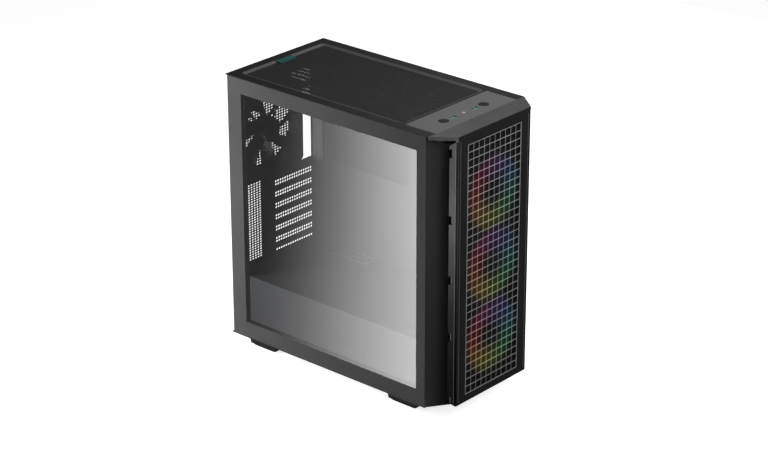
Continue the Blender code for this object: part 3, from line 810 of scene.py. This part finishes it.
def fan_rotor(node, blades, cover, lean, material):
    """Hub with curved blades that cover a share of the disc; lean is 1 or -1."""
    frame_low, frame_high = span(node.replace("rotor", "frame"))
    x, z = centre(node.replace("rotor", "frame"))
    tip = (frame_high.x - frame_low.x) / 2 - 5.0
    y_front, y_rear = frame_high.y - 22.5, frame_high.y - 3.5
    hub = bmesh.new()
    turned(
        hub,
        x,
        z,
        [
            (0.0, y_front),
            (HUB_RADIUS - 2.5, y_front),
            (HUB_RADIUS - 1.4, y_front + 0.3),
            (HUB_RADIUS - 0.4, y_front + 1.2),
            (HUB_RADIUS, y_front + 2.4),
            (HUB_RADIUS, y_rear),
            (HUB_RADIUS - HUB_WALL, y_rear),
            (HUB_RADIUS - HUB_WALL, y_front + HUB_TOP),
            (0.0, y_front + HUB_TOP),
        ],
    )
    piece(node.replace("rotor", "hub_cap"), hub, FAN_BLADE, node, smooth=40)
    ring_front, ring_rear = y_front - 0.15, y_front + 0.1
    hub_ring = bmesh.new()
    turned(
        hub_ring,
        x,
        z,
        [
            (RING_INSIDE, ring_front),
            (RING_OUTSIDE, ring_front),
            (RING_OUTSIDE, ring_rear),
            (RING_INSIDE, ring_rear),
            (RING_INSIDE, ring_front),
        ],
    )
    piece(node.replace("rotor", "hub_ring"), hub_ring, GREY, node, smooth=40)
    vanes = bmesh.new()
    middle = (y_front + y_rear) / 2 - 0.6
    chord = cover * pi / blades
    for i in range(blades):
        turn = i * 2 * pi / blades
        blade_sheet(
            vanes, x, middle, z, HUB_RADIUS - 0.8, tip, turn, chord, lean * 6.6, -lean * 0.32
        )
    made = piece(node.replace("rotor", "vanes"), vanes, material, node, smooth=50)
    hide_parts(node)


def fans():
    fan_rotor("rear_fan_rotor", 7, 0.60, -1, FAN_BLADE)
    for i in (1, 2, 3):
        fan_rotor(f"front_fan_{i}_rotor", 9, 0.95, 1, LIT_BLADE)


# --- lines of the front -------------------------------------------------------------------------

LINE_HALF_WIDTH, LINE_SEAT = 0.4, 0.3
BORDER_X = 75.6  # between the grille's opening and the gloss strip
FACE_CORNER_X, SLANT = 85.7, (10.0, 10.1)  # where the flat face ends, and how its side runs back


def trim_lines():
    """Fine lines beside and in the gloss strips of the front."""
    for side, sign in SIDES:
        low, high = span(f"front_trim_{side}")
        for name, x, rise in (
            ("trim_line", (low.x + high.x) / 2, 0.08),
            ("border_line", sign * BORDER_X, 0.09),
        ):
            bar(
                f"{name}_{side}",
                (x - LINE_HALF_WIDTH, low.y - rise, low.z),
                (x + LINE_HALF_WIDTH, low.y + LINE_SEAT, high.z),
                LINE,
                "front_panel",
            )
        gloss_corner(side, sign, low, high)


def gloss_corner(side, sign, low, high):
    """Gloss band along the front edge of the slanted side, with a fine light grey line behind it as a
    painted highlight.
    """
    corner = Vector((FACE_CORNER_X, span("front_panel_frame")[0].y))
    back = Vector(SLANT).normalized()
    out = Vector((back.y, -back.x))
    for name, start, end, rise, material, slot in (
        ("gloss_corner", 0.6, 4.2, 0.12, DEEP_BLACK, "black_steel"),
        ("corner_highlight_line", 4.3, 4.9, 0.16, PAINTED_HIGHLIGHT_LINE, "grey_plastic"),
    ):
        near, far = corner + back * start, corner + back * end
        plan = [near, far, far + out * rise, near + out * rise]
        bm = bmesh.new()
        prism(bm, "z", [(sign * point.x, point.y) for point in plan], low.z, high.z)
        piece(f"{name}_{side}", bm, material, "front_panel")


# --- controls -----------------------------------------------------------------------------------

TONGUE_HALF, TONGUE_BOTTOM = (5.7, 1.9), 460.5
JACK_RING, JACK_HOLE = 2.4, 1.5  # radii


def controls():
    """Tongues in the USB ports and the ring of the audio jack."""
    for side, sign in SIDES:
        low, high = span(f"usb_port_{side}")
        x, y = (low.x + high.x) / 2, (low.y + high.y) / 2
        half_x, half_y = TONGUE_HALF
        bar(
            f"usb_tongue_{side}",
            (x - half_x, y - half_y, TONGUE_BOTTOM),
            (x + half_x, y + half_y, high.z - 0.9),
            USB_TEAL,
            bevel=0.2,
        )
    low, high = span("audio_jack")
    x, y = (low.x + high.x) / 2, (low.y + high.y) / 2
    outline = ring(x, y, JACK_RING)
    made = plate("jack_ring", "z", outline, high.z - 0.3, high.z + 0.15, WHITE)
    bm = bmesh.new()
    prism(bm, "z", ring(x, y, JACK_HOLE), high.z - PAST, high.z + PAST)
    carve(made, bm)


# --- thumbscrews --------------------------------------------------------------------------------

HEAD_LENGTH, COLLAR, COLLAR_RADIUS, SHANK_RADIUS = 8.9, 0.8, 4.8, 1.8
KNURL_POINTS, KNURL_TOP, KNURL_BOTTOM = 96, 5.5, 5.05  # points of the outline, and its two radii


def knurled_head(x, z):
    outline = []
    for i in range(KNURL_POINTS):
        radius = KNURL_TOP if i % 4 < 2 else KNURL_BOTTOM
        angle = 2 * pi * i / KNURL_POINTS
        outline.append((x + radius * cos(angle), z + radius * sin(angle)))
    return outline


def thumbscrews():
    """Four screws with a knurled head, a collar and a plain shank."""
    for node in [f"thumbscrew_{side}_{level}" for side, sign in SIDES for level in ("bottom", "top")]:
        low, high = span(node)
        x, z = centre(node)
        head_y = high.y - HEAD_LENGTH
        collar_y = head_y + COLLAR
        profile = [
            (0.0, low.y),
            (SHANK_RADIUS - 0.3, low.y),
            (SHANK_RADIUS, low.y + 0.5),
            (SHANK_RADIUS, head_y),
            (COLLAR_RADIUS, head_y),
            (COLLAR_RADIUS, collar_y),
            (0.0, collar_y),
        ]
        bm = bmesh.new()
        prism(bm, "y", knurled_head(x, z), collar_y, high.y)
        turned(bm, x, z, profile, 24)
        made = piece(f"knurled_{node}", bm, STEEL, node, bevel=0.15)
        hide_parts(node)


# --- finishes of the CAD nodes ------------------------------------------------------------------


def finishes():
    """Materials of the nodes that keep their CAD shape, and soft edges where light catches them."""
    table = {
        STEEL: (
            "bottom_pan",
            "front_pillar_left",
            "front_pillar_right",
            "right_side_panel",
            "front_wall",
        ),
        LIGHTENED_INSIDE_STEEL: ("motherboard_tray", "psu_shroud", "drive_cage"),
        SIDE_FRAME: ("glass_panel_frame",),
        BLACK: (
            *(f"foot_{corner}" for corner in CORNERS),
            "audio_jack",
            "psu_filter",
            "drive_tray_1",
            "drive_tray_2",
            "fan_hub",
        ),
        FRONT_FACE: ("front_panel_frame",),
        TOP_SHELL: ("top_frame",),
        GREY: ("io_cover",),
        BUTTON: ("power_button", "reset_button"),
        GLOSS: ("front_trim_left", "front_trim_right"),
        GLASS: ("glass_pane",),
        TOP_MESH: ("top_filter_mesh",),
        FRONT_MESH: ("front_filter",),
        RUBBER: [f"foot_pad_{corner}" for corner in CORNERS],
        TEAL: ("top_filter_tab",),
        FAN_FRAME: ("rear_fan_frame",),
        LIT_FRAME: [f"front_fan_{i}_frame" for i in (1, 2, 3)],
        BOARD: ("io_board",),
        PLATED: ("usb_port_left", "usb_port_right"),
    }
    for material, names in table.items():
        for name in names:
            NODES[name].data.materials.clear()
            NODES[name].data.materials.append(material)
    for name, width in (
        ("glass_panel_frame", 0.6),
        ("right_side_panel", 0.6),
        ("top_frame", 0.5),
        ("front_panel_frame", 0.9),
        ("front_pillar_left", 0.5),
        ("front_pillar_right", 0.5),
        ("bottom_pan", 0.3),
        ("io_cover", 0.3),
        ("psu_shroud", 0.4),
        ("motherboard_tray", 0.3),
        ("top_filter_tab", 0.4),
        ("rear_fan_frame", 0.4),
    ):
        soften(NODES[name], width)


# --- stage --------------------------------------------------------------------------------------


def emitter(name):
    """A material that only glows."""
    made = bpy.data.materials.new(name)
    made.use_nodes = True
    tree = made.node_tree
    tree.nodes.clear()
    output = tree.nodes.new("ShaderNodeOutputMaterial")
    glow = tree.nodes.new("ShaderNodeEmission")
    tree.links.new(glow.outputs[0], output.inputs[0])
    return made, tree, glow


def sheet_object(name, corners, material):
    """A flat sheet that belongs to the stage."""
    mesh = bpy.data.meshes.new(name)
    mesh.from_pydata(corners, [], [tuple(range(len(corners)))])
    mesh.materials.append(material)
    made = bpy.data.objects.new(name, mesh)
    scene.collection.objects.link(made)
    return made


def floor():
    """White sweep; it doesn't bounce light, so the black case keeps its depth."""
    made = Surface("floor")
    made.colour(made.blend(made.noise(3.0), (0.80, 0.80, 0.80), (0.83, 0.83, 0.83)))
    made.roughness(made.remap(made.noise(20.0), 0.75, 0.85))
    made.set(Specular_IOR_Level=0.0, Emission_Color=(1, 1, 1, 1), Emission_Strength=0.8)
    far = 30.0
    corners = [(x, y, 0) for x, y in oblong(-far, -far, far, far)]
    plane = sheet_object("floor", corners, made.material)
    plane.visible_diffuse = False
    plane.visible_glossy = False


def reflector(name, corners, weights, ramp, strength, base=0.0):
    """Softbox lying on the floor that only reflections see; its glow grows across the card.

    The weighted sum of x and y goes from one end of the ramp to the other as the glow goes from
    the base to the full strength.
    """
    material, tree, glow = emitter(name)
    place = tree.nodes.new("ShaderNodeTexCoord").outputs["Object"]
    along = tree.nodes.new("ShaderNodeVectorMath")
    along.operation = "DOT_PRODUCT"
    tree.links.new(place, along.inputs[0])
    along.inputs[1].default_value = (*weights, 0.0)
    fall = tree.nodes.new("ShaderNodeMapRange")
    fall.interpolation_type = "SMOOTHSTEP"
    tree.links.new(along.outputs["Value"], fall.inputs["Value"])
    fall.inputs["From Min"].default_value = ramp[0]
    fall.inputs["From Max"].default_value = ramp[1]
    fall.inputs["To Min"].default_value = base
    fall.inputs["To Max"].default_value = strength
    tree.links.new(fall.outputs[0], glow.inputs["Strength"])
    height = 0.002
    card = sheet_object(name, [(x, y, height) for x, y in corners], material)
    card.visible_camera = False
    card.visible_diffuse = False
    card.visible_shadow = False
    card.visible_transmission = False
    card.visible_volume_scatter = False


def area(name, place, aim, size, power, size_y=None, mirrored=True):
    """Area light aimed at a point; mirrored says whether gloss shows it."""
    data = bpy.data.lights.new(name, "AREA")
    data.energy = power
    data.shape = "RECTANGLE"
    data.size = size
    data.size_y = size_y or size
    made = bpy.data.objects.new(name, data)
    scene.collection.objects.link(made)
    made.location = place
    direction = Vector(aim) - Vector(place)
    made.rotation_euler = direction.to_track_quat("-Z", "Y").to_euler()
    made.visible_camera = False
    made.visible_glossy = mirrored
    return made


def surroundings(seen, felt):
    """White to the camera, dim to everything that lights or reflects."""
    world = bpy.data.worlds.new("studio")
    scene.world = world
    world.use_nodes = True
    tree = world.node_tree
    background = tree.nodes["Background"]
    path = tree.nodes.new("ShaderNodeLightPath")
    level = tree.nodes.new("ShaderNodeMapRange")
    tree.links.new(path.outputs["Is Camera Ray"], level.inputs["Value"])
    level.inputs["To Min"].default_value = felt
    level.inputs["To Max"].default_value = seen
    background.inputs["Color"].default_value = (1, 1, 1, 1)
    tree.links.new(level.outputs[0], background.inputs["Strength"])


def lighting():
    """Soft lights round the case, and cards for what its gloss and glass mirror."""
    surroundings(1.0, 0.08)
    area("overhead", (0.1, -0.95, 1.5), (0, -0.1, 0.4), 0.8, 22)
    area("rear_left", (-0.62, 0.54, 0.28), (-0.115, 0.12, 0.25), 0.4, 9.6, 0.7, mirrored=False)
    area("front_key", (0.45, -1.5, 0.9), (0, -0.2, 0.25), 0.8, 6, mirrored=False)
    area("right_fill", (1.7, 0.1, 0.7), (0.115, 0.0, 0.25), 1.2, 9, mirrored=False)
    area("far_right", (0.95, 0.55, 1.15), (0.0, -0.2, 0.47), 0.5, 0.8)
    reflector(
        "window_reflector",
        ((-0.13, -0.25), (-0.13, 0.35), (-1.05, 1.15), (-1.30, 0.75), (-1.30, 0.25)),
        (0.87, 1.0),
        (0.10, -0.60),
        6.3,
        0.15,
    )
    reflector(
        "strip_reflector",
        ((-0.35, -0.75), (-0.65, -0.50), (-1.25, -1.15), (-0.95, -1.40)),
        (-0.6, -0.8),
        (0.5, 1.0),
        5.0,
    )
    reflector(
        "edge_reflector",
        ((-0.16, -1.9), (0.0, -1.9), (0.0, -0.45), (-0.16, -0.45)),
        (0.0, -1.0),
        (0.45, 1.0),
        5.0,
    )


front_grille()
rear_wall()
slot_covers()
chassis_edges()
top_sheet()
filter_rim()
fans()
trim_lines()
controls()
thumbscrews()
finishes()
floor()
lighting()
